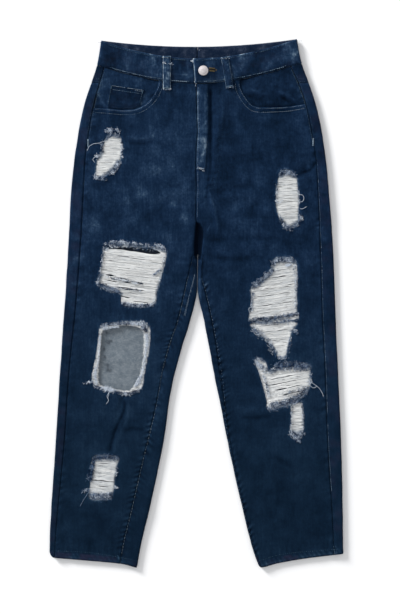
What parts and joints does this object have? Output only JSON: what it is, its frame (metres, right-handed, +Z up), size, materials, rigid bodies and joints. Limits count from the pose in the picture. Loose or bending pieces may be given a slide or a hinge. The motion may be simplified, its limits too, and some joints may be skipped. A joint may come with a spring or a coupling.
{
  "type": "ripped denim jeans, laid flat",
  "caption": "Dark blue high-waisted ripped jeans laid flat on their back, front up, with frayed holes, bare white threads and a closed shank button.",
  "frame": {"origin": "centre of the garment's box, on the surface that it lies on", "axes": "+Y towards the waist, +Z up off the surface, +X towards the wearer's left leg"},
  "size_m": [0.5061, 0.9104, 0.0154],
  "materials": {
    "denim": "matte",
    "denim_dark": "matte",
    "bare_weft": "matte",
    "button_metal": "satin"
  },
  "bodies": {
    "root": {"front_panel_l": "denim", "front_panel_r": "denim", "back_panel_l": "denim", "back_panel_r": "denim", "yoke_l": "denim_dark", "yoke_r": "denim_dark", "waistband_l": "denim", "waistband_r": "denim", "belt_loop_front_l": "denim", "belt_loop_front_r": "denim", "belt_loop_back_l": "denim", "belt_loop_back_c": "denim", "belt_loop_back_r": "denim", "pocket_facing_l": "denim_dark", "pocket_facing_r": "denim_dark", "coin_pocket": "denim_dark", "fly_placket": "denim", "button": "button_metal", "back_pocket_l": "denim", "back_pocket_r": "denim", "rip_threads_l1": "bare_weft", "rip_threads_l2": "bare_weft", "rip_threads_l4": "bare_weft", "rip_threads_r1": "bare_weft", "rip_threads_r2": "bare_weft", "rip_threads_r3": "bare_weft", "rip_threads_r4": "bare_weft", "rip_threads_r5": "bare_weft", "knee_fray_l": "bare_weft"}
  },
  "joints": []
}
